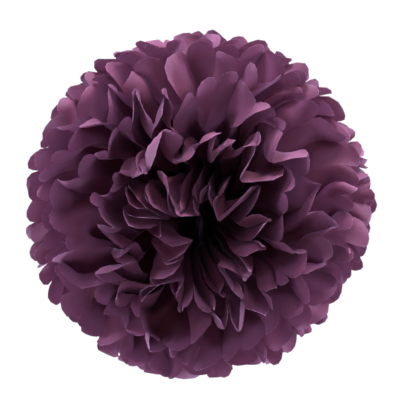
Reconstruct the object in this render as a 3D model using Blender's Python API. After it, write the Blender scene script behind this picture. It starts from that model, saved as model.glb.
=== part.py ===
"""Tissue paper pom pom: twelve pleated sheets tied round the middle and peeled apart into a ball.

Z runs along the axis of the ball, and the folded stack was tied along Y: each sheet fans out
into a half circle of petals towards +Y and another towards -Y.
"""
import math

import bpy
import numpy as np
from mathutils.bvhtree import BVHTree

SHEETS = 12
PLEATS = 22
PLEAT_WIDTH = 0.018
SHEET_LENGTH = 0.250
END_DEPTH = 0.008
END_SQUARENESS = 2.4
PAPER = 0.0003

WAIST_RADIUS = 0.008
WAIST_PITCH = 0.0018
WAIST_GAP = 0.0003
SLIT_HALF = 0.0018
NOTCH_DEPTH = 0.0024
NOTCH_HALF = 0.0008
OPEN_LENGTH = 0.046
AXIS_CLEAR = 0.006

LOWEST_HEADING = math.radians(5)
HEADING_STEP = math.radians(12.4)
STEP_GROWTH = math.radians(1.15)

OWN_FROM = 0.068
OWN_STEEP = 0.030
TOGETHER = (0.035, 0.100)
BUNCHING = 0.6
ROUGHNESS = 0.45
STEEP_BUNCHING = 1.9
LEAST_OPEN = 0.12
MOST_OPEN = 0.94
OWN_SHARE = 0.60
SEAM_WANDER = math.radians(8)
HEADING_WANDER = math.radians(5)
PETAL_CURL = 0.010
DRIFTS = ((0.200, 0.0095), (0.095, 0.0065), (0.045, 0.0025))
WAVES = 10
HOLD_ROUND = 0.8
SEED = 4
MOST_FALLS = 60

REST_HEIGHT = 0.113
REST_DEPTH = 0.012

WIRE = 0.0010
WIRE_CLEARANCE = 0.0003
WIRE_BEND = 0.0016
WIRE_SIDES = 6
TAIL_LENGTH = 0.014
TAIL_TURNS = 3
TAIL_STEPS = 6

ROWS = (0, 0.6, 1)
END_POINTS = (0.2, 0.8)

REACH = SHEET_LENGTH / 2
HALF_PLEAT = PLEAT_WIDTH / 2
FOLD_SIGNS = np.where(np.arange(PLEATS + 1) % 2 == 0, 1.0, -1.0)


def smooth(x, start, end):
    t = np.clip((x - start) / (end - start), 0, 1)
    return t * t * (3 - 2 * t)


def heading_of(sheet):
    """The angle above the waist plane at which a sheet leaves the waist: steep ones lie further apart."""
    half = SHEETS // 2
    steps = half - 1 - sheet if sheet < half else sheet - half
    heading = LOWEST_HEADING + steps * HEADING_STEP + steps * (steps - 1) / 2 * STEP_GROWTH
    return heading if sheet < half else -heading


def waist_height(sheet):
    return ((SHEETS - 1) / 2 - sheet) * WAIST_PITCH


def pleat_width_at(s):
    """A pleat's width at s along it from the middle: drawn together at the waist, then whole."""
    drawn = WAIST_RADIUS * math.pi / PLEATS
    return drawn + (PLEAT_WIDTH - drawn) * smooth(s, WAIST_RADIUS, OPEN_LENGTH) ** 0.8


def fold_runs(shares, width, room):
    """Level runs of the pleats at each s: they share the room, none shut quite flat or wider than its pleat."""
    least, widest = LEAST_OPEN * width, MOST_OPEN * width
    runs = least + shares / shares.sum(axis=0) * (room - PLEATS * least)
    for _ in range(12):
        runs = np.minimum(runs, widest)
        left = room - runs.sum(axis=0)
        slack = widest - runs
        runs = runs + slack * np.minimum(1, left / np.maximum(slack.sum(axis=0), 1e-9))
    return runs


def without_wander(lift):
    """Lift with its slow part taken out, so that the folds stay about the sheet's own heading."""
    padded = np.concatenate([lift[2:0:-1], lift, lift[-2:-4:-1]])
    count = len(lift)
    level = sum(part * padded[i:i + count] for i, part in enumerate((1, 2, 2, 2, 1))) / 8
    return lift - level


def bunching(source):
    """How far each pleat stands open, from about -1 to 1: closed ones come in bunches."""
    rough = source.normal(size=PLEATS + 6)
    slow = np.convolve(rough, (0.5, 1, 1.2, 1, 0.5), mode="same")[3:-3]
    slow = slow / np.abs(slow).max() + ROUGHNESS * source.uniform(-1, 1, PLEATS)
    return slow / np.abs(slow).max()


def fold_paths(sheet, side, fall, s):
    """Azimuth and lift of every fold line of a half sheet at the lengths s, in one fall of its petals."""
    shared = np.random.default_rng((SEED, side))
    own = np.random.default_rng((SEED, side, sheet, fall))
    seam = np.random.default_rng((SEED, 2, sheet, fall)).uniform(-SEAM_WANDER, SEAM_WANDER, 2)
    steep = abs(heading_of(sheet)) / (math.pi / 2)
    together = smooth(s, *TOGETHER)
    alone = smooth(s, OWN_FROM + OWN_STEEP * steep, REACH)

    bunch = bunching(shared)[:, None] * together * (1 - OWN_SHARE * alone)
    bunch = bunch + bunching(own)[:, None] * alone * OWN_SHARE
    shares = np.exp(BUNCHING * bunch * (1 + STEEP_BUNCHING * min(steep, 0.7)))
    radius = WAIST_RADIUS + (s - WAIST_RADIUS) * math.cos(heading_of(sheet))
    slit = np.arcsin(SLIT_HALF / s)
    start = slit + seam[side] * alone
    end = math.pi - slit + seam[1 - side] * alone
    width = pleat_width_at(s)
    room = np.minimum(radius * (end - start), (MOST_OPEN - 0.005) * width * PLEATS)
    runs = fold_runs(shares, width, room)
    heights = np.sqrt(width ** 2 - runs ** 2)

    zero = np.zeros((1, len(s)))
    run = np.concatenate([zero, np.cumsum(runs, axis=0)])
    azimuth = math.pi * side + (start + end) / 2 + (run - run[-1] / 2) / radius
    lift = np.concatenate([zero, np.cumsum(-FOLD_SIGNS[:-1, None] * heights, axis=0)])
    lift = without_wander(lift)

    phase = own.uniform(0, 2 * math.pi, 2)
    around = np.linspace(0, math.pi, PLEATS + 1)
    sway = 0.6 * np.sin(2 * around + phase[0]) + 0.4 * np.sin(5 * around + phase[1])
    sway = sway + 0.8 * own.uniform(-1, 1, PLEATS + 1)
    curl = own.uniform(-1, 1, PLEATS + 1)
    lift = lift + s * HEADING_WANDER * sway[:, None] * alone
    return azimuth, lift + PETAL_CURL * curl[:, None] * smooth(s, 0.7 * REACH, REACH)


def petal_end(across):
    """Length of a pleat at a place across it from 0 to 1: its end is cut round."""
    off = np.abs(2 * across - 1) ** END_SQUARENESS
    return REACH - END_DEPTH * (1 - np.maximum(0, 1 - off) ** (1 / END_SQUARENESS))


def rest_flat(points):
    """The petals underneath bend to a small flat face, as they do under the ball's own weight."""
    z = points[..., 2]
    below = np.maximum(0, REST_DEPTH - REST_HEIGHT - z)
    points[..., 2] = np.where(
        below > 0, REST_DEPTH - REST_HEIGHT - REST_DEPTH * np.tanh(below / REST_DEPTH), z
    )
    return points


def drift(points):
    """Pushes points about by slow waves, more towards the petal tips, so that nothing lies evenly."""
    reach = np.linalg.norm(points, axis=-1, keepdims=True)
    source = np.random.default_rng((SEED, 90))
    for wavelength, amount in DRIFTS:
        along = source.normal(size=(WAVES, 3))
        along /= np.linalg.norm(along, axis=1, keepdims=True)
        push = np.cross(along, source.normal(size=(WAVES, 3)))
        push *= amount / math.sqrt(WAVES / 2) / np.linalg.norm(push, axis=1, keepdims=True)
        turns = 2 * math.pi / wavelength * source.uniform(0.7, 1.3, WAVES)
        phase = points @ (along * turns[:, None]).T + source.uniform(0, 2 * math.pi, WAVES)
        points = points + np.sin(phase) @ push * smooth(reach, 0.2 * REACH, 0.95 * REACH)
    moved = np.linalg.norm(points, axis=-1, keepdims=True)
    return points * (reach / moved) ** HOLD_ROUND


def place(sheet, azimuth, lift, s):
    """Points in space from azimuth, lift and length along a sheet."""
    angle = heading_of(sheet)
    out = WAIST_RADIUS + (s - WAIST_RADIUS) * math.cos(angle) - lift * math.sin(angle)
    clear = AXIS_CLEAR * smooth(s, WAIST_RADIUS, OPEN_LENGTH)
    out = (out + np.sqrt(out ** 2 + 4 * clear ** 2)) / 2
    up = waist_height(sheet) + (s - WAIST_RADIUS) * math.sin(angle) + lift * math.cos(angle)
    return drift(np.stack([out * np.cos(azimuth), out * np.sin(azimuth), up], axis=-1))


def half_sheet(sheet, side, fall):
    """Points of the fold lines (fold, row) and of the rounded ends (pleat, point)."""
    dense = np.linspace(WAIST_RADIUS, REACH, 48)
    azimuth, lift = fold_paths(sheet, side, fall, dense)
    corner = REACH - END_DEPTH
    rows = WAIST_RADIUS + (corner - WAIST_RADIUS) * np.array(ROWS)
    across = np.array(END_POINTS)
    lengths = petal_end(across)

    def at(fold, s):
        return np.interp(s, dense, azimuth[fold]), np.interp(s, dense, lift[fold])

    folds = [place(sheet, *at(fold, rows), rows) for fold in range(PLEATS + 1)]
    ends = []
    for pleat in range(PLEATS):
        a0, l0 = at(pleat, lengths)
        a1, l1 = at(pleat + 1, lengths)
        ends.append(place(sheet, a0 + (a1 - a0) * across, l0 + (l1 - l0) * across, lengths))
    return rest_flat(np.array(folds)), rest_flat(np.array(ends))


def pleat_triangles(pleat, near, tip):
    """Triangles of one pleat: a strip between two fold lines, then its end."""
    rows = len(ROWS)
    far = near + rows
    triangles = []
    for row in range(rows - 1):
        a, b, c, d = near + row, near + row + 1, far + row + 1, far + row
        if (pleat + row) % 2:
            triangles += [(a, b, c), (a, c, d)]
        else:
            triangles += [(a, b, d), (b, c, d)]
    a, b = near + rows - 1, far + rows - 1
    return triangles + [(a, tip, b), (tip, tip + 1, b)]


def middle_surface(sheet, fall):
    """Vertices and triangles of a whole sheet's middle surface. The last five vertices are the waist's."""
    vertices, triangles, rims = [], [], []
    for side in (0, 1):
        folds, ends = half_sheet(sheet, side, fall)
        base = len(vertices)
        tips = base + (PLEATS + 1) * len(ROWS)
        vertices += folds.reshape(-1, 3).tolist() + ends.reshape(-1, 3).tolist()
        for pleat in range(PLEATS):
            near = base + pleat * len(ROWS)
            triangles += pleat_triangles(pleat, near, tips + pleat * len(END_POINTS))
        rims.append([base + fold * len(ROWS) for fold in range(PLEATS + 1)])
    centre = len(vertices)
    z = waist_height(sheet)
    x = WAIST_RADIUS - NOTCH_DEPTH
    y = NOTCH_HALF
    vertices += [(0, 0, z), (-x, y, z), (-x, -y, z), (x, -y, z), (x, y, z)]
    loop = rims[0] + [centre + 1, centre + 2] + rims[1] + [centre + 3, centre + 4]
    triangles += [(centre, a, b) for a, b in zip(loop, loop[1:] + loop[:1])]
    return np.array(vertices), np.array(triangles)


def vertex_normals(vertices, triangles):
    """At each vertex the direction half way between the pleats that meet there, also at a sharp fold."""
    corners = vertices[triangles]
    cross = np.cross(corners[:, 1] - corners[:, 0], corners[:, 2] - corners[:, 0])
    facing = cross / np.linalg.norm(cross, axis=1)[:, None]
    per_pleat = 2 * len(ROWS)
    pleat = np.arange(len(triangles)) // per_pleat
    between = np.zeros_like(vertices)
    for odd in (0, 1):
        mine = (pleat % 2 == odd) & (pleat < 2 * PLEATS)
        normals = np.zeros_like(vertices)
        for i in range(3):
            one = corners[:, (i + 1) % 3] - corners[:, i]
            other = corners[:, (i + 2) % 3] - corners[:, i]
            cosine = (one * other).sum(1) / np.linalg.norm(one, axis=1) / np.linalg.norm(other, axis=1)
            angle = np.arccos(np.clip(cosine, -1, 1))
            np.add.at(normals, triangles[mine, i], (facing * angle[:, None])[mine])
        between += normals / np.maximum(np.linalg.norm(normals, axis=1), 1e-9)[:, None]
    return between / np.maximum(np.linalg.norm(between, axis=1), 1e-9)[:, None]


def sheet_solid(sheet, fall):
    """Points and faces of a sheet: both sides of its middle surface, and a rim."""
    vertices, triangles = middle_surface(sheet, fall)
    shift = vertex_normals(vertices, triangles) * PAPER / 2
    shift[-5:] = (0, 0, (WAIST_PITCH - WAIST_GAP) / 2)
    points = np.concatenate([vertices + shift, vertices - shift])
    under = len(vertices)
    front = triangles.tolist()
    faces = [tuple(t) for t in front]
    faces += [(a + under, c + under, b + under) for a, b, c in front]
    edges = {(t[i], t[(i + 1) % 3]) for t in front for i in range(3)}
    for a, b in sorted(edges):
        if (b, a) not in edges:
            faces += [(b, a, a + under), (b, a + under, b + under)]
    return points, faces


def lay_sheets():
    """Each sheet's solid and fall: the first fall in which it touches none of those laid before it."""
    half = SHEETS // 2
    laid = {}
    trees = []
    for sheet in [*range(half - 1, -1, -1), *range(half, SHEETS)]:
        for fall in range(MOST_FALLS):
            points, faces = sheet_solid(sheet, fall)
            tree = BVHTree.FromPolygons(points.tolist(), faces, all_triangles=True)
            if not any(tree.overlap(other) for other in trees):
                break
        trees.append(tree)
        laid[sheet] = (points, faces, fall)
    return laid


def add_mesh(name, points, faces, material):
    mesh = bpy.data.meshes.new(name)
    mesh.from_pydata([tuple(p) for p in points], [], faces)
    mesh.update()
    mesh.materials.append(material)
    obj = bpy.data.objects.new(name, mesh)
    bpy.context.scene.collection.objects.link(obj)
    return obj


def make_material(name, color, roughness, metallic):
    material = bpy.data.materials.new(name)
    material.use_nodes = True
    shader = material.node_tree.nodes["Principled BSDF"]
    shader.inputs["Base Color"].default_value = (*color, 1)
    shader.inputs["Roughness"].default_value = roughness
    shader.inputs["Metallic"].default_value = metallic
    return material


def build_sheets():
    paper = make_material("tissue_paper", (0.125, 0.031, 0.062), 0.9, 0.0)
    laid = lay_sheets()
    for sheet in range(SHEETS):
        points, faces, _ = laid[sheet]
        add_mesh(f"sheet_{sheet + 1:02d}", points, faces, paper)


def tube_faces(rings, sides, closed):
    """Faces between rings of points, with flat ends where the tube is open."""
    faces = []
    for ring in range(rings if closed else rings - 1):
        here, there = ring * sides, (ring + 1) % rings * sides
        for i in range(sides):
            j = (i + 1) % sides
            faces.append((here + i, here + j, there + j, there + i))
    if not closed:
        faces.append(tuple(range(sides))[::-1])
        faces.append(tuple((rings - 1) * sides + i for i in range(sides)))
    return faces


def wire_loop():
    """The wire round the waist: a rounded rectangle across the slits between the halves."""
    half_width = WAIST_RADIUS - NOTCH_DEPTH + WIRE_CLEARANCE + WIRE
    half_height = waist_height(0) + (WAIST_PITCH - WAIST_GAP) / 2 + WIRE_CLEARANCE + WIRE / 2
    points = []
    for corner in range(4):
        x = (half_width - WIRE_BEND) * (1, -1, -1, 1)[corner]
        z = (half_height - WIRE_BEND) * (1, 1, -1, -1)[corner]
        for step in range(3):
            turn = (corner + step / 2) * math.pi / 2
            for side in range(WIRE_SIDES):
                around = 2 * math.pi * side / WIRE_SIDES
                reach = WIRE_BEND + WIRE / 2 * math.cos(around)
                points.append((x + reach * math.cos(turn), WIRE / 2 * math.sin(around),
                               z + reach * math.sin(turn)))
    return points, tube_faces(12, WIRE_SIDES, True), half_width


def twisted_tail(start):
    """The two ends of the wire twisted together, standing out through the slit."""
    rings = TAIL_TURNS * TAIL_STEPS + 1
    points = []
    for ring in range(rings):
        along = ring / (rings - 1)
        turn = 2 * math.pi * TAIL_TURNS * along
        for side in range(WIRE_SIDES):
            around = 2 * math.pi * (side + 0.5) / WIRE_SIDES
            wide = 0.95 * WIRE * math.cos(around)
            narrow = 0.5 * WIRE * math.sin(around)
            points.append((start + TAIL_LENGTH * along,
                           wide * math.cos(turn) - narrow * math.sin(turn),
                           wide * math.sin(turn) + narrow * math.cos(turn)))
    return points, tube_faces(rings, WIRE_SIDES, False)


def build_wire():
    metal = make_material("wire", (0.16, 0.16, 0.165), 0.45, 1.0)
    points, faces, side = wire_loop()
    loop = add_mesh("tie_wire", points, faces, metal)
    points, faces = twisted_tail(side - WIRE / 4)
    tail = add_mesh("tail_shape", points, faces, metal)
    tail.hide_render = True
    joined = loop.modifiers.new("tail", "BOOLEAN")
    joined.operation = "UNION"
    joined.solver = "EXACT"
    joined.object = tail


def stand_on_origin():
    """Moves everything so that the middle of the ball's underside is at the origin."""
    corners = np.array([v.co for obj in bpy.data.objects for v in obj.data.vertices])
    low, high = corners.min(axis=0), corners.max(axis=0)
    for obj in bpy.data.objects:
        obj.location = (-(low[0] + high[0]) / 2, -(low[1] + high[1]) / 2, -low[2])


def main():
    for obj in list(bpy.data.objects):
        bpy.data.objects.remove(obj)
    build_sheets()
    build_wire()
    stand_on_origin()


main()
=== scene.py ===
"""Looks of the tissue paper pom pom: the same pleated sheets as in part.py, in fine detail.

Lengths are in metres and angles in radians, unless a comment says otherwise.
"""
import math

import bpy
import numpy as np
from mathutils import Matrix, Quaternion, Vector
from mathutils.bvhtree import BVHTree


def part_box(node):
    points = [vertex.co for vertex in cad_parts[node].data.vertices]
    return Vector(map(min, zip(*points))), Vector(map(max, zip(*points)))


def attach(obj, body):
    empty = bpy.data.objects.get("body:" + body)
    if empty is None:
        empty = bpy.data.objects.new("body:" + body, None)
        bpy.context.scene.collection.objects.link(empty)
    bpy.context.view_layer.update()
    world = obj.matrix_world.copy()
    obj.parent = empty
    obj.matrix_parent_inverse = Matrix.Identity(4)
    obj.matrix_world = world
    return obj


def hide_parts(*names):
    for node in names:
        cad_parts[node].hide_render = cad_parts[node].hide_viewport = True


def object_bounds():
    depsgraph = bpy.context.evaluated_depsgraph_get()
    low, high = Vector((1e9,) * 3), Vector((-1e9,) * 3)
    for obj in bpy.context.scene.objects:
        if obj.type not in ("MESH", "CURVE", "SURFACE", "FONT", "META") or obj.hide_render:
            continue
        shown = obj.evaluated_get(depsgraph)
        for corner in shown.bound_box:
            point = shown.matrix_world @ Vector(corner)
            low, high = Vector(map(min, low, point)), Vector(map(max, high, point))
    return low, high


# The sheets and their pleats, as in part.py
SHEETS = 12
PLEATS = 22
PLEAT_WIDTH = 0.018
SHEET_LENGTH = 0.250
END_DEPTH = 0.008
END_SQUARENESS = 2.4
PAPER = 0.0003
REACH = SHEET_LENGTH / 2
FOLD_SIGNS = np.where(np.arange(PLEATS + 1) % 2 == 0, 1.0, -1.0)

# The waist, its slit between the two half circles and its notches for the wire
WAIST_RADIUS = 0.008
WAIST_PITCH = 0.0018
WAIST_GAP = 0.0003
SLIT_HALF = 0.0018
NOTCH_DEPTH = 0.0024
NOTCH_HALF = 0.0008
OPEN_LENGTH = 0.046
OPEN_CURVE = 0.8
AXIS_CLEAR = 0.006

# The wire, and how far the outside of its loop lies past its clearance to the paper
WIRE = 0.0010
WIRE_CLEARANCE = 0.0003
LOOP_OUTSIDE = 1.5 * WIRE

# The angles at which the sheets leave the waist
LOWEST_HEADING = math.radians(5)
HEADING_STEP = math.radians(12.4)
STEP_GROWTH = math.radians(1.15)

# How the pleats of a half sheet share their room
OWN_FROM = 0.068
OWN_STEEP = 0.030
OWN_SHARE = 0.60
TOGETHER = (0.035, 0.100)
BUNCHING = 0.6
BUNCH_BLUR = (0.5, 1, 1.2, 1, 0.5)
BUNCH_MARGIN = 3
ROUGHNESS = 0.45
STEEP_BUNCHING = 1.9
STEEPEST_BUNCHING = 0.7
LEAST_OPEN = 0.12
MOST_OPEN = 0.94
MOST_ROOM = MOST_OPEN - 0.005
SHARING_ROUNDS = 12
LEVEL_WEIGHTS = (1, 2, 2, 2, 1)
TINY = 1e-9

# How far the folds stray from their sheet's heading
SEAM_WANDER = math.radians(8)
HEADING_WANDER = math.radians(5)
SWAYS = ((2, 0.6), (5, 0.4))
SWAY_ROUGHNESS = 0.8
PETAL_CURL = 0.010
CURL_FROM = 0.7

# Waves that push all sheets about together: wavelength and amount
DRIFTS = ((0.200, 0.0095), (0.095, 0.0065), (0.045, 0.0025))
DRIFT_FROM = 0.2
CRUMPLES = ((0.034, 0.0024), (0.019, 0.0006))
CRUMPLE_FROM = 0.4
WAVES = 10
WAVE_SPREAD = (0.7, 1.3)
WAVES_WHOLE = 0.95
HOLD_ROUND = 0.8

# The numbers that keep the random draws apart
SEED = 4
SEAM_DRAW = 2
SHAPE_DRAW = 40
DRIFT_DRAW = 90
CRUMPLE_DRAW = 91
MOST_FALLS = 60

# The flat face underneath
REST_HEIGHT = 0.113
REST_DEPTH = 0.012

# The few points of a solid sheet, as shares of a pleat's length and width
ROWS = (0, 0.6, 1)
END_POINTS = (0.2, 0.8)
PATH_STEPS = 48
WAIST_POINTS = 5

# The many points of a fine sheet, and the form of its petals
FINE_PATH_STEPS = 60
ACROSS = 7
ALONG = 26
ALONG_CURVE = 0.85
CUP = 0.0045
CUP_SPREAD = (-0.35, 1.0)
CUP_FROM = 0.4
TIP_ROLL = 0.0025
ROUND_DEPTH = 0.0095

# Fine wrinkles: waves in radians for each metre along a pleat and for its whole width.
# Of the starts drawn for each pleat, the last is left over.
WRINKLE = 0.00035
WRINKLE_FROM = 0.3
WRINKLE_WHOLE = 0.8
RIPPLES = ((520, 5), (130, 3), (260, -7))
RIPPLE_DRAWS = 4
THIRD_RIPPLE = 0.7

# The paper
PAPER_COLOR = (0.130, 0.029, 0.054)
PAPER_MOTTLE = (0.80, 1.2)
MOTTLE_RANGE = (0.30, 0.70)
PAPER_ROUGHNESS = 0.65
FIBRES_SCALE = 900
FIBRES_DETAIL = 3
FIBRES_SHARE = 0.45
CLOUDS_SCALE = 60
CLOUDS_DETAIL = 4
CLOUDS_SHARE = 0.55
BUMP_STRENGTH = 0.35
BUMP_DEPTH = 0.0006
# The pale line at each petal's cut end: a painted highlight where light catches the thin edge, partly the
# paler frayed paper
EDGE_HIGHLIGHT_AND_FRAY_COLOR = (0.50, 0.30, 0.42)
EDGE_HIGHLIGHT_AND_FRAY_WIDTH = 0.0006
EDGE_HIGHLIGHT_AND_FRAY_SHARE = 0.7
GLOW_COLOR = (0.28, 0.098, 0.175)
GLOW_MOTTLE = (0.7, 1.3)
THROUGH = 0.09
GLOSS = 0.2
SHEEN = 0.08
SHEEN_COLOR = (0.8, 0.75, 1.0)
SHEEN_ROUGHNESS = 0.5

# The wire
WIRE_DARK = (0.12, 0.12, 0.125)
WIRE_PALE = (0.20, 0.20, 0.205)
WIRE_ROUGHNESS = 0.5
WIRE_NOISE_SCALE = 400

# The camera: azimuth, elevation and roll in degrees, then its lens in mm
VIEW = (85, 80, 180)
DISTANCE = 0.90
SENSOR = 36
LENS = 112
SHIFT = (-0.0025, 0.017)

# The studio
WORLD_COLOR = (1.0, 0.86, 0.88)
WORLD_STRENGTH = 0.05
FLOOR_HALF = 1.5
FLOOR_DROP = 0.0005
FLOOR_COLOR = (0.9, 0.9, 0.9)
FLOOR_ROUGHNESS = 0.9
FLOOR_WHITE = 0.96

# Lamps, placed by direction in the picture: right, up and towards the camera
KEY = 4.5
KEY_FROM = (0.35, 0.9, 0.2)
KEY_DISTANCE = 0.9
KEY_SIZE = 0.15
KEY_COLOR = (1.0, 0.9, 0.92)
FILL = 0.15
FILL_FROM = (-0.3, 0.2, 1.0)
FILL_DISTANCE = 1.1
FILL_SIZE = 1.0
FILL_COLOR = (1.0, 0.86, 0.88)

# A ring of lamps below the middle of the ball, brighter on one side
RIM = 15.0
RIM_LIGHTS = 5
RIM_TURN = 0.4
RIM_LEAN = 0.2
RIM_FROM = math.radians(90)
RIM_DISTANCE = 0.75
RIM_LEVEL = -0.13
RIM_SIZE = 0.2
RIM_COLOR = (0.66, 0.7, 1.0)

# A ring of lamps over the floor
FLOOR_LIGHT = 3.0
FLOOR_LIGHTS = 6
FLOOR_LIGHT_REACH = 0.6
FLOOR_LIGHT_HEIGHT = 0.45
FLOOR_LIGHT_SIZE = 0.4


def smooth(x, start, end):
    t = np.clip((x - start) / (end - start), 0, 1)
    return t * t * (3 - 2 * t)


def heading_of(sheet):
    """The angle above the waist plane at which a sheet leaves the waist: steep ones lie further apart."""
    half = SHEETS // 2
    steps = half - 1 - sheet if sheet < half else sheet - half
    heading = LOWEST_HEADING + steps * HEADING_STEP + steps * (steps - 1) / 2 * STEP_GROWTH
    return heading if sheet < half else -heading


def waist_height(sheet):
    return ((SHEETS - 1) / 2 - sheet) * WAIST_PITCH


def radius_at(sheet, s):
    """Distance from the axis at s along a sheet whose folds keep to its heading."""
    return WAIST_RADIUS + (s - WAIST_RADIUS) * math.cos(heading_of(sheet))


def pleat_width_at(s):
    """A pleat's width at s along it from the middle: drawn together at the waist, then whole."""
    drawn = WAIST_RADIUS * math.pi / PLEATS
    return drawn + (PLEAT_WIDTH - drawn) * smooth(s, WAIST_RADIUS, OPEN_LENGTH) ** OPEN_CURVE


def fold_runs(shares, width, room):
    """Level runs of the pleats at each s: they share the room, none quite shut or wider than its pleat."""
    least, widest = LEAST_OPEN * width, MOST_OPEN * width
    runs = least + shares / shares.sum(axis=0) * (room - PLEATS * least)
    for _ in range(SHARING_ROUNDS):
        runs = np.minimum(runs, widest)
        left = room - runs.sum(axis=0)
        slack = widest - runs
        runs = runs + slack * np.minimum(1, left / np.maximum(slack.sum(axis=0), TINY))
    return runs


def without_wander(lift):
    """Lift with its slow part taken out, so that the folds stay about the sheet's own heading."""
    padded = np.concatenate([lift[2:0:-1], lift, lift[-2:-4:-1]])
    count = len(lift)
    weighted = sum(weight * padded[i:i + count] for i, weight in enumerate(LEVEL_WEIGHTS))
    return lift - weighted / sum(LEVEL_WEIGHTS)


def bunching(source):
    """How far each pleat stands open, from about -1 to 1: closed ones come in bunches."""
    rough = source.normal(size=PLEATS + 2 * BUNCH_MARGIN)
    slow = np.convolve(rough, BUNCH_BLUR, mode="same")[BUNCH_MARGIN:-BUNCH_MARGIN]
    slow = slow / np.abs(slow).max() + ROUGHNESS * source.uniform(-1, 1, PLEATS)
    return slow / np.abs(slow).max()


def pleat_shares(shared, own, sheet, s, alone):
    """How the pleats share their room: alike in all sheets near the waist, less so further out."""
    steep = min(abs(heading_of(sheet)) / (math.pi / 2), STEEPEST_BUNCHING)
    bunch = bunching(shared)[:, None] * smooth(s, *TOGETHER) * (1 - OWN_SHARE * alone)
    bunch = bunch + bunching(own)[:, None] * alone * OWN_SHARE
    return np.exp(BUNCHING * bunch * (1 + STEEP_BUNCHING * steep))


def stray(own, lift, s, alone):
    """Lift with each fold's sway about the sheet's heading, and its curl near the tip."""
    phase = own.uniform(0, 2 * math.pi, len(SWAYS))
    around = np.linspace(0, math.pi, PLEATS + 1)
    sway = sum(amount * np.sin(turns * around + start) for (turns, amount), start in zip(SWAYS, phase))
    sway = sway + SWAY_ROUGHNESS * own.uniform(-1, 1, PLEATS + 1)
    curl = own.uniform(-1, 1, PLEATS + 1)
    lift = lift + s * HEADING_WANDER * sway[:, None] * alone
    return lift + PETAL_CURL * curl[:, None] * smooth(s, CURL_FROM * REACH, REACH)


def fold_paths(sheet, side, fall, s):
    """Azimuth and lift of every fold line of a half sheet at the lengths s, in one fall of its petals."""
    shared = np.random.default_rng((SEED, side))
    own = np.random.default_rng((SEED, side, sheet, fall))
    seam = np.random.default_rng((SEED, SEAM_DRAW, sheet, fall)).uniform(-SEAM_WANDER, SEAM_WANDER, 2)
    steep = abs(heading_of(sheet)) / (math.pi / 2)
    alone = smooth(s, OWN_FROM + OWN_STEEP * steep, REACH)

    radius = radius_at(sheet, s)
    slit = np.arcsin(SLIT_HALF / s)
    start = slit + seam[side] * alone
    end = math.pi - slit + seam[1 - side] * alone
    width = pleat_width_at(s)
    room = np.minimum(radius * (end - start), MOST_ROOM * width * PLEATS)
    runs = fold_runs(pleat_shares(shared, own, sheet, s, alone), width, room)
    heights = np.sqrt(width ** 2 - runs ** 2)

    zero = np.zeros((1, len(s)))
    run = np.concatenate([zero, np.cumsum(runs, axis=0)])
    azimuth = math.pi * side + (start + end) / 2 + (run - run[-1] / 2) / radius
    lift = np.concatenate([zero, np.cumsum(-FOLD_SIGNS[:-1, None] * heights, axis=0)])
    return azimuth, stray(own, without_wander(lift), s, alone)


def petal_end(across):
    """Length of a pleat at a place across it from 0 to 1: its end is cut round."""
    off = np.abs(2 * across - 1) ** END_SQUARENESS
    return REACH - END_DEPTH * (1 - np.maximum(0, 1 - off) ** (1 / END_SQUARENESS))


def rest_flat(points):
    """The petals underneath bend to a small flat face, as they do under the ball's own weight."""
    z = points[..., 2]
    level = REST_DEPTH - REST_HEIGHT
    below = np.maximum(0, level - z)
    points[..., 2] = np.where(below > 0, level - REST_DEPTH * np.tanh(below / REST_DEPTH), z)
    return points


def pushed_by_waves(points, waves, draw, start):
    """Points pushed about by random waves that grow from a share of the reach outwards."""
    reach = np.linalg.norm(points, axis=-1, keepdims=True)
    growing = smooth(reach, start * REACH, WAVES_WHOLE * REACH)
    source = np.random.default_rng((SEED, draw))
    for wavelength, amount in waves:
        along = source.normal(size=(WAVES, 3))
        along /= np.linalg.norm(along, axis=1, keepdims=True)
        push = np.cross(along, source.normal(size=(WAVES, 3)))
        push *= amount / math.sqrt(WAVES / 2) / np.linalg.norm(push, axis=1, keepdims=True)
        turns = 2 * math.pi / wavelength * source.uniform(*WAVE_SPREAD, WAVES)
        phase = points @ (along * turns[:, None]).T + source.uniform(0, 2 * math.pi, WAVES)
        points = points + np.sin(phase) @ push * growing
    return points


def drift(points):
    """Slow waves, so that nothing lies evenly. They hardly change how far out a point lies."""
    moved = pushed_by_waves(points, DRIFTS, DRIFT_DRAW, DRIFT_FROM)
    before = np.linalg.norm(points, axis=-1, keepdims=True)
    after = np.linalg.norm(moved, axis=-1, keepdims=True)
    return moved * (before / after) ** HOLD_ROUND


def crumple(points):
    """Small waves all through the paper, too fine for the CAD."""
    return pushed_by_waves(points, CRUMPLES, CRUMPLE_DRAW, CRUMPLE_FROM)


def place(sheet, azimuth, lift, s):
    """Points in space from azimuth, lift and length along a sheet."""
    angle = heading_of(sheet)
    out = WAIST_RADIUS + (s - WAIST_RADIUS) * math.cos(angle) - lift * math.sin(angle)
    clear = AXIS_CLEAR * smooth(s, WAIST_RADIUS, OPEN_LENGTH)
    out = (out + np.sqrt(out ** 2 + 4 * clear ** 2)) / 2
    up = waist_height(sheet) + (s - WAIST_RADIUS) * math.sin(angle) + lift * math.cos(angle)
    return drift(np.stack([out * np.cos(azimuth), out * np.sin(azimuth), up], axis=-1))


def half_sheet(sheet, side, fall):
    """Points of the fold lines (fold, row) and of the rounded ends (pleat, point)."""
    dense = np.linspace(WAIST_RADIUS, REACH, PATH_STEPS)
    azimuth, lift = fold_paths(sheet, side, fall, dense)
    corner = REACH - END_DEPTH
    rows = WAIST_RADIUS + (corner - WAIST_RADIUS) * np.array(ROWS)
    across = np.array(END_POINTS)
    lengths = petal_end(across)

    def at(fold, s):
        return np.interp(s, dense, azimuth[fold]), np.interp(s, dense, lift[fold])

    folds = [place(sheet, *at(fold, rows), rows) for fold in range(PLEATS + 1)]
    ends = []
    for pleat in range(PLEATS):
        a0, l0 = at(pleat, lengths)
        a1, l1 = at(pleat + 1, lengths)
        ends.append(place(sheet, a0 + (a1 - a0) * across, l0 + (l1 - l0) * across, lengths))
    return rest_flat(np.array(folds)), rest_flat(np.array(ends))


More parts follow.
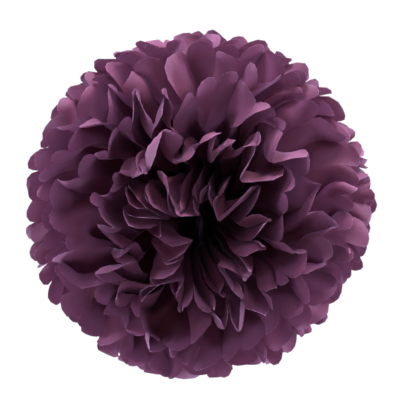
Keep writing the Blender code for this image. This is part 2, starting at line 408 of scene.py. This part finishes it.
def pleat_triangles(pleat, near, tip):
    """Triangles of one pleat: a strip between two fold lines, then its end."""
    rows = len(ROWS)
    far = near + rows
    triangles = []
    for row in range(rows - 1):
        a, b, c, d = near + row, near + row + 1, far + row + 1, far + row
        if (pleat + row) % 2:
            triangles += [(a, b, c), (a, c, d)]
        else:
            triangles += [(a, b, d), (b, c, d)]
    a, b = near + rows - 1, far + rows - 1
    return triangles + [(a, tip, b), (tip, tip + 1, b)]


def waist_fan(sheet, rim, first):
    """The gathered middle of a sheet inside its folds, notched where the wire goes round."""
    z = waist_height(sheet)
    x = WAIST_RADIUS - NOTCH_DEPTH
    y = NOTCH_HALF
    points = np.array([(0, 0, z), (-x, y, z), (-x, -y, z), (x, -y, z), (x, y, z)])
    half = len(rim) // 2
    loop = rim[:half] + [first + 1, first + 2] + rim[half:] + [first + 3, first + 4]
    return points, [(first, a, b) for a, b in zip(loop, loop[1:] + loop[:1])]


def middle_surface(sheet, fall):
    """Vertices and triangles of a whole sheet's middle surface. The last vertices are the waist's."""
    vertices, triangles, rim = [], [], []
    for side in (0, 1):
        folds, ends = half_sheet(sheet, side, fall)
        base = len(vertices)
        tips = base + (PLEATS + 1) * len(ROWS)
        vertices += folds.reshape(-1, 3).tolist() + ends.reshape(-1, 3).tolist()
        for pleat in range(PLEATS):
            near = base + pleat * len(ROWS)
            triangles += pleat_triangles(pleat, near, tips + pleat * len(END_POINTS))
        rim += [base + fold * len(ROWS) for fold in range(PLEATS + 1)]
    waist, fan = waist_fan(sheet, rim, len(vertices))
    return np.array(vertices + waist.tolist()), np.array(triangles + fan)


def vertex_normals(vertices, triangles):
    """At each vertex the direction half way between the pleats that meet there, also at a sharp fold."""
    corners = vertices[triangles]
    cross = np.cross(corners[:, 1] - corners[:, 0], corners[:, 2] - corners[:, 0])
    facing = cross / np.linalg.norm(cross, axis=1)[:, None]
    per_pleat = 2 * len(ROWS)
    pleat = np.arange(len(triangles)) // per_pleat
    between = np.zeros_like(vertices)
    for odd in (0, 1):
        mine = (pleat % 2 == odd) & (pleat < 2 * PLEATS)
        normals = np.zeros_like(vertices)
        for i in range(3):
            one = corners[:, (i + 1) % 3] - corners[:, i]
            other = corners[:, (i + 2) % 3] - corners[:, i]
            cosine = (one * other).sum(1) / np.linalg.norm(one, axis=1) / np.linalg.norm(other, axis=1)
            angle = np.arccos(np.clip(cosine, -1, 1))
            np.add.at(normals, triangles[mine, i], (facing * angle[:, None])[mine])
        between += normals / np.maximum(np.linalg.norm(normals, axis=1), TINY)[:, None]
    return between / np.maximum(np.linalg.norm(between, axis=1), TINY)[:, None]


def sheet_solid(sheet, fall):
    """Points and faces of a sheet: both sides of its middle surface, and a rim."""
    vertices, triangles = middle_surface(sheet, fall)
    shift = vertex_normals(vertices, triangles) * PAPER / 2
    shift[-WAIST_POINTS:] = (0, 0, (WAIST_PITCH - WAIST_GAP) / 2)
    points = np.concatenate([vertices + shift, vertices - shift])
    under = len(vertices)
    front = triangles.tolist()
    faces = [tuple(t) for t in front]
    faces += [(a + under, c + under, b + under) for a, b, c in front]
    edges = {(t[i], t[(i + 1) % 3]) for t in front for i in range(3)}
    for a, b in sorted(edges):
        if (b, a) not in edges:
            faces += [(b, a, a + under), (b, a + under, b + under)]
    return points, faces


def find_falls():
    """Each sheet's fall: the first in which its solid touches none of those laid before it."""
    half = SHEETS // 2
    falls = {}
    trees = []
    for sheet in [*range(half - 1, -1, -1), *range(half, SHEETS)]:
        for fall in range(MOST_FALLS):
            points, faces = sheet_solid(sheet, fall)
            tree = BVHTree.FromPolygons(points.tolist(), faces, all_triangles=True)
            if not any(tree.overlap(other) for other in trees):
                break
        trees.append(tree)
        falls[sheet] = fall
    return falls


def pleat_shape(sheet, side):
    """Random character of each pleat: cup, roll of the tip and wrinkles."""
    source = np.random.default_rng((SEED, SHAPE_DRAW, side, sheet))
    cup = source.uniform(*CUP_SPREAD, PLEATS) * CUP
    roll = source.uniform(-1, 1, PLEATS) * TIP_ROLL
    starts = source.uniform(0, 2 * math.pi, (PLEATS, RIPPLE_DRAWS))
    return cup, roll, starts


def ripple(s, t, starts):
    """Height of the fine wrinkles at s along a pleat and t across it: two waves crossed, and a third."""
    first, second, third = (
        np.sin(s * along + across * t + start) for (along, across), start in zip(RIPPLES, starts)
    )
    return first * second + THIRD_RIPPLE * third


def round_end(across):
    """Length of a pleat at a place across it, with its end cut rounder than the few points of the CAD."""
    return REACH - ROUND_DEPTH * (1 - np.sqrt(np.maximum(0, 1 - (2 * across - 1) ** 2)))


def fine_half(sheet, side, fall):
    """Points (pleat, across, row) of a half sheet, and their places on the flat pleat."""
    dense = np.linspace(WAIST_RADIUS, REACH, FINE_PATH_STEPS)
    azimuth, lift = fold_paths(sheet, side, fall, dense)
    across = (1 - np.cos(np.linspace(0, math.pi, ACROSS + 1))) / 2
    along = np.linspace(0, 1, ALONG + 1) ** ALONG_CURVE
    s = WAIST_RADIUS + (round_end(across)[:, None] - WAIST_RADIUS) * along
    t = across[:, None] + 0 * s
    arch = 4 * t * (1 - t)
    radius = radius_at(sheet, s)
    cup, roll, starts = pleat_shape(sheet, side)
    points = np.empty((PLEATS, ACROSS + 1, ALONG + 1, 3))
    for pleat in range(PLEATS):
        a0, a1 = (np.interp(s, dense, azimuth[i]) for i in (pleat, pleat + 1))
        l0, l1 = (np.interp(s, dense, lift[i]) for i in (pleat, pleat + 1))
        run, rise = (a1 - a0) * radius, l1 - l0
        length = np.hypot(run, rise) + TINY
        push = cup[pleat] * arch * smooth(s, CUP_FROM * REACH, REACH)
        push = push + roll[pleat] * smooth(s, REACH - ROUND_DEPTH, REACH)
        wrinkled = smooth(s, WRINKLE_FROM * REACH, WRINKLE_WHOLE * REACH)
        push = push + WRINKLE * ripple(s, t, starts[pleat]) * arch ** 0.5 * wrinkled
        turned = a0 + (a1 - a0) * t - push * rise / length / radius
        raised = l0 + rise * t + push * run / length
        points[pleat] = place(sheet, turned, raised, s)
    return rest_flat(crumple(points)), np.stack([t * PLEAT_WIDTH, s], axis=-1)


def fine_surface(sheet, fall):
    """Points, faces and places on the flat sheet of a whole sheet."""
    step = ALONG + 1
    points, places, faces, rim = [], [], [], []
    count = 0
    for side in (0, 1):
        pleats, flat = fine_half(sheet, side, fall)
        for pleat in range(PLEATS):
            points.append(pleats[pleat].reshape(-1, 3))
            places.append((flat + (pleat * PLEAT_WIDTH, 0)).reshape(-1, 2))
            corners = [count + i * step + k for i in range(ACROSS) for k in range(ALONG)]
            faces += [(a, a + 1, a + step + 1, a + step) for a in corners]
            rim.append(count)
            count += (ACROSS + 1) * step
        rim.append(count - step)
    waist, fan = waist_fan(sheet, rim, count)
    places.append(np.abs(waist[:, :2]))
    return np.concatenate([*points, waist]), faces + fan, np.concatenate(places)


def add_object(name, data):
    made = bpy.data.objects.new(name, data)
    bpy.context.scene.collection.objects.link(made)
    return made


def sheet_object(sheet, fall, centre, material):
    """A sheet of paper about the waist's centre, with its places on the flat sheet as its UV map."""
    points, faces, places = fine_surface(sheet, fall)
    name = f"tissue_{sheet + 1:02d}"
    mesh = bpy.data.meshes.new(name)
    mesh.from_pydata((points + centre).tolist(), [], faces)
    layer = mesh.uv_layers.new(name="flat")
    loops = np.empty(len(mesh.loops), np.int32)
    mesh.loops.foreach_get("vertex_index", loops)
    layer.data.foreach_set("uv", places[loops].ravel())
    mesh.polygons.foreach_set("use_smooth", [True] * len(mesh.polygons))
    mesh.materials.append(material)
    mesh.update()
    return add_object(name, mesh)


def feed(tree, socket, value):
    """Links another socket to this one, or sets it to a constant."""
    if isinstance(value, bpy.types.NodeSocket):
        tree.links.new(value, socket)
    else:
        socket.default_value = value


def math_node(tree, operation, *values):
    made = tree.nodes.new("ShaderNodeMath")
    made.operation = operation
    for socket, value in zip(made.inputs, values):
        feed(tree, socket, value)
    return made.outputs[0]


def noise(tree, scale, detail, where):
    made = tree.nodes.new("ShaderNodeTexNoise")
    made.inputs["Scale"].default_value = scale
    made.inputs["Detail"].default_value = detail
    tree.links.new(where, made.inputs["Vector"])
    return made.outputs["Fac"]


def color_ramp(tree, factor, stops):
    """Colours between two stops, each a position and a colour."""
    made = tree.nodes.new("ShaderNodeValToRGB")
    for element, (position, color) in zip(made.color_ramp.elements, stops):
        element.position = position
        element.color = (*color, 1)
    tree.links.new(factor, made.inputs[0])
    return made.outputs[0]


def color_mix(tree, factor, a, b):
    made = tree.nodes.new("ShaderNodeMix")
    made.data_type = "RGBA"
    feed(tree, made.inputs["Factor"], factor)
    feed(tree, made.inputs["A"], a)
    feed(tree, made.inputs["B"], b)
    return made.outputs["Result"]


def shader_mix(tree, factor, a, b):
    made = tree.nodes.new("ShaderNodeMixShader")
    feed(tree, made.inputs[0], factor)
    tree.links.new(a, made.inputs[1])
    tree.links.new(b, made.inputs[2])
    return made.outputs[0]


def shades(color, factors):
    """A colour made darker and paler."""
    return [tuple(c * factor for c in color) for factor in factors]


def mottle(tree, flat):
    """The cloudy look of tissue: fine fibres over broad clouds."""
    fibres = noise(tree, FIBRES_SCALE, FIBRES_DETAIL, flat)
    clouds = noise(tree, CLOUDS_SCALE, CLOUDS_DETAIL, flat)
    return math_node(
        tree, "ADD",
        math_node(tree, "MULTIPLY", fibres, FIBRES_SHARE),
        math_node(tree, "MULTIPLY", clouds, CLOUDS_SHARE),
    )


def edge_highlight_and_fray(tree, flat):
    """A painted highlight along the rounded end of each petal, partly the paler frayed cut edge: 1 at the
    end, down to 0 at the width of the line from it.
    """
    split = tree.nodes.new("ShaderNodeSeparateXYZ")
    tree.links.new(flat, split.inputs[0])
    across = math_node(tree, "FRACT", math_node(tree, "DIVIDE", split.outputs[0], PLEAT_WIDTH))
    middle = math_node(tree, "SUBTRACT", math_node(tree, "MULTIPLY", across, 2.0), 1.0)
    left = math_node(tree, "SUBTRACT", 1.0, math_node(tree, "POWER", middle, 2.0))
    arc = math_node(tree, "SQRT", math_node(tree, "MAXIMUM", left, 0.0))
    end = math_node(tree, "ADD", math_node(tree, "MULTIPLY", arc, ROUND_DEPTH), REACH - ROUND_DEPTH)
    inside = math_node(tree, "DIVIDE", math_node(tree, "SUBTRACT", end, split.outputs[1]), EDGE_HIGHLIGHT_AND_FRAY_WIDTH)
    return color_ramp(tree, inside, [(0, (1, 1, 1)), (1, (0, 0, 0))])


def paper_shader(tree, color, normal):
    """The light that the paper throws back."""
    paper = tree.nodes.new("ShaderNodeBsdfPrincipled")
    paper.inputs["Roughness"].default_value = PAPER_ROUGHNESS
    paper.inputs["Specular IOR Level"].default_value = GLOSS
    paper.inputs["Sheen Weight"].default_value = SHEEN
    paper.inputs["Sheen Tint"].default_value = (*SHEEN_COLOR, 1)
    paper.inputs["Sheen Roughness"].default_value = SHEEN_ROUGHNESS
    tree.links.new(color, paper.inputs["Base Color"])
    tree.links.new(normal, paper.inputs["Normal"])
    return paper.outputs[0]


def glow_shader(tree, mottled, normal):
    """The light that comes through the paper."""
    dark, pale = shades(GLOW_COLOR, GLOW_MOTTLE)
    glow = tree.nodes.new("ShaderNodeBsdfTranslucent")
    tree.links.new(color_mix(tree, mottled, (*dark, 1), (*pale, 1)), glow.inputs["Color"])
    tree.links.new(normal, glow.inputs["Normal"])
    return glow.outputs[0]


def tissue_material():
    material = bpy.data.materials.new("tissue_paper_fine")
    material.use_nodes = True
    tree = material.node_tree
    tree.nodes.clear()
    out = tree.nodes.new("ShaderNodeOutputMaterial")
    flat = tree.nodes.new("ShaderNodeUVMap")
    flat.uv_map = "flat"
    mottled = mottle(tree, flat.outputs[0])
    color = color_ramp(tree, mottled, list(zip(MOTTLE_RANGE, shades(PAPER_COLOR, PAPER_MOTTLE))))
    # Painted highlight along each petal's cut end, partly the paler frayed paper
    highlight_and_fray_mask = math_node(tree, "MULTIPLY", edge_highlight_and_fray(tree, flat.outputs[0]), EDGE_HIGHLIGHT_AND_FRAY_SHARE)
    color = color_mix(tree, highlight_and_fray_mask, color, (*EDGE_HIGHLIGHT_AND_FRAY_COLOR, 1))
    bump = tree.nodes.new("ShaderNodeBump")
    bump.inputs["Strength"].default_value = BUMP_STRENGTH
    bump.inputs["Distance"].default_value = BUMP_DEPTH
    tree.links.new(mottled, bump.inputs["Height"])
    normal = bump.outputs[0]
    both = shader_mix(tree, THROUGH, paper_shader(tree, color, normal), glow_shader(tree, mottled, normal))
    tree.links.new(both, out.inputs["Surface"])
    return material


def wire_material():
    material = bpy.data.materials.new("craft_wire")
    material.use_nodes = True
    tree = material.node_tree
    metal = tree.nodes["Principled BSDF"]
    metal.inputs["Metallic"].default_value = 1.0
    metal.inputs["Roughness"].default_value = WIRE_ROUGHNESS
    grain = tree.nodes.new("ShaderNodeTexNoise")
    grain.inputs["Scale"].default_value = WIRE_NOISE_SCALE
    color = color_ramp(tree, grain.outputs["Fac"], [(0, WIRE_DARK), (1, WIRE_PALE)])
    tree.links.new(color, metal.inputs["Base Color"])
    return material


def make_world():
    """A dim warm sky, pure white where the camera, a reflection or glass looks."""
    world = bpy.data.worlds.new("studio")
    bpy.context.scene.world = world
    world.use_nodes = True
    tree = world.node_tree
    sky = tree.nodes["Background"]
    sky.inputs["Color"].default_value = (*WORLD_COLOR, 1)
    sky.inputs["Strength"].default_value = WORLD_STRENGTH
    white = tree.nodes.new("ShaderNodeBackground")
    white.inputs["Color"].default_value = (1, 1, 1, 1)
    white.inputs["Strength"].default_value = 1.0
    path = tree.nodes.new("ShaderNodeLightPath")
    indirect = math_node(
        tree, "MAXIMUM", path.outputs["Is Glossy Ray"], path.outputs["Is Transmission Ray"]
    )
    seen = math_node(tree, "MAXIMUM", path.outputs["Is Camera Ray"], indirect)
    both = shader_mix(tree, seen, sky.outputs[0], white.outputs[0])
    tree.links.new(both, tree.nodes["World Output"].inputs["Surface"])


def floor_material():
    """Pale, and nearly white to the camera, so that only a faint shadow shows."""
    material = bpy.data.materials.new("pale_floor")
    material.use_nodes = True
    tree = material.node_tree
    pale = tree.nodes["Principled BSDF"]
    pale.inputs["Base Color"].default_value = (*FLOOR_COLOR, 1)
    pale.inputs["Roughness"].default_value = FLOOR_ROUGHNESS
    white = tree.nodes.new("ShaderNodeEmission")
    path = tree.nodes.new("ShaderNodeLightPath")
    seen = math_node(tree, "MULTIPLY", path.outputs["Is Camera Ray"], FLOOR_WHITE)
    both = shader_mix(tree, seen, pale.outputs[0], white.outputs[0])
    tree.links.new(both, tree.nodes["Material Output"].inputs["Surface"])
    return material


def make_floor():
    mesh = bpy.data.meshes.new("floor")
    corners = [(-FLOOR_HALF, -FLOOR_HALF, 0), (FLOOR_HALF, -FLOOR_HALF, 0),
               (FLOOR_HALF, FLOOR_HALF, 0), (-FLOOR_HALF, FLOOR_HALF, 0)]
    mesh.from_pydata(corners, [], [(0, 1, 2, 3)])
    mesh.materials.append(floor_material())
    floor = add_object("floor", mesh)
    floor.location.z = -FLOOR_DROP


def camera_axes(azimuth, elevation, roll):
    """The direction from the object to the camera, and the camera's rotation."""
    a, e = math.radians(azimuth), math.radians(elevation)
    back = Vector((math.sin(a) * math.cos(e), -math.cos(a) * math.cos(e), math.sin(e)))
    turn = (-back).to_track_quat("-Z", "Y") @ Quaternion((0, 0, 1), math.radians(roll))
    return back, turn


def make_camera(centre):
    back, turn = camera_axes(*VIEW)
    data = bpy.data.cameras.new("camera")
    data.sensor_width = SENSOR
    data.lens = LENS
    data.shift_x, data.shift_y = SHIFT
    camera = add_object("camera", data)
    camera.location = centre + back * DISTANCE
    camera.rotation_mode = "QUATERNION"
    camera.rotation_quaternion = turn
    bpy.context.scene.camera = camera


def add_lamp(name, location, size, energy, color):
    """A round soft lamp that faces straight down."""
    data = bpy.data.lights.new(name, "AREA")
    data.shape = "DISK"
    data.size = size
    data.energy = energy
    data.color = color
    lamp = add_object(name, data)
    lamp.location = location
    return lamp


def aim_lamp(name, centre, direction, distance, size, energy, color, level=None):
    """A lamp placed by direction in the picture, turned towards the centre.

    With a level it stands at that height instead, as a share of its distance.
    """
    _, turn = camera_axes(*VIEW)
    aim = turn @ Vector(direction)
    if level is not None:
        aim.z = level
    aim.normalize()
    lamp = add_lamp(name, centre + aim * distance, size, energy, color)
    lamp.rotation_mode = "QUATERNION"
    lamp.rotation_quaternion = (-aim).to_track_quat("-Z", "Y")


def add_lamps(centre):
    """The key and fill lamps, a ring of lamps round the ball and another over the floor."""
    aim_lamp("key", centre, KEY_FROM, KEY_DISTANCE, KEY_SIZE, KEY, KEY_COLOR)
    aim_lamp("fill", centre, FILL_FROM, FILL_DISTANCE, FILL_SIZE, FILL, FILL_COLOR)
    for number in range(RIM_LIGHTS):
        turn = 2 * math.pi * number / RIM_LIGHTS + RIM_TURN
        energy = RIM * (1 + RIM_LEAN * math.cos(turn - RIM_FROM))
        direction = (math.cos(turn), math.sin(turn), 0)
        name = f"rim_{number + 1}"
        aim_lamp(name, centre, direction, RIM_DISTANCE, RIM_SIZE, energy, RIM_COLOR, RIM_LEVEL)
    for number in range(FLOOR_LIGHTS):
        turn = 2 * math.pi * number / FLOOR_LIGHTS
        x, y = FLOOR_LIGHT_REACH * math.cos(turn), FLOOR_LIGHT_REACH * math.sin(turn)
        location = (x, y, FLOOR_LIGHT_HEIGHT)
        add_lamp(f"floor_{number + 1}", location, FLOOR_LIGHT_SIZE, FLOOR_LIGHT, RIM_COLOR)


def waist_centre():
    """The middle of the waist in the frame, found from the wire's box: its tail stands out to +X."""
    low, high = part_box("tie_wire")
    across = WAIST_RADIUS - NOTCH_DEPTH + WIRE_CLEARANCE + LOOP_OUTSIDE
    return np.array([low[0] + across, (low[1] + high[1]) / 2, (low[2] + high[2]) / 2])


def add_sheets():
    paper = tissue_material()
    centre = waist_centre()
    falls = find_falls()
    for sheet in range(SHEETS):
        obj = sheet_object(sheet, falls[sheet], centre, paper)
        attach(obj, "root")
        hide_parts(f"sheet_{sheet + 1:02d}")


def paint_wire(wire):
    metal = wire_material()
    for slot in wire.material_slots:
        slot.material = metal


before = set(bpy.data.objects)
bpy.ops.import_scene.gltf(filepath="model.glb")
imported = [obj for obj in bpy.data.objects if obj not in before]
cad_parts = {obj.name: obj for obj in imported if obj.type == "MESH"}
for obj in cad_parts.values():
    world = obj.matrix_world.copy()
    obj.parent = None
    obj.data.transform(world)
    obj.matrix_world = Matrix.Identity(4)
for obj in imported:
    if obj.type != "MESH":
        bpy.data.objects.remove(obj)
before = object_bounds()
middle = (Vector(before[0]) + Vector(before[1])) / 2
bpy.context.scene.view_settings.view_transform = "Standard"
add_sheets()
paint_wire(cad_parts["tie_wire"])
make_world()
make_floor()
make_camera(middle)
add_lamps(middle)
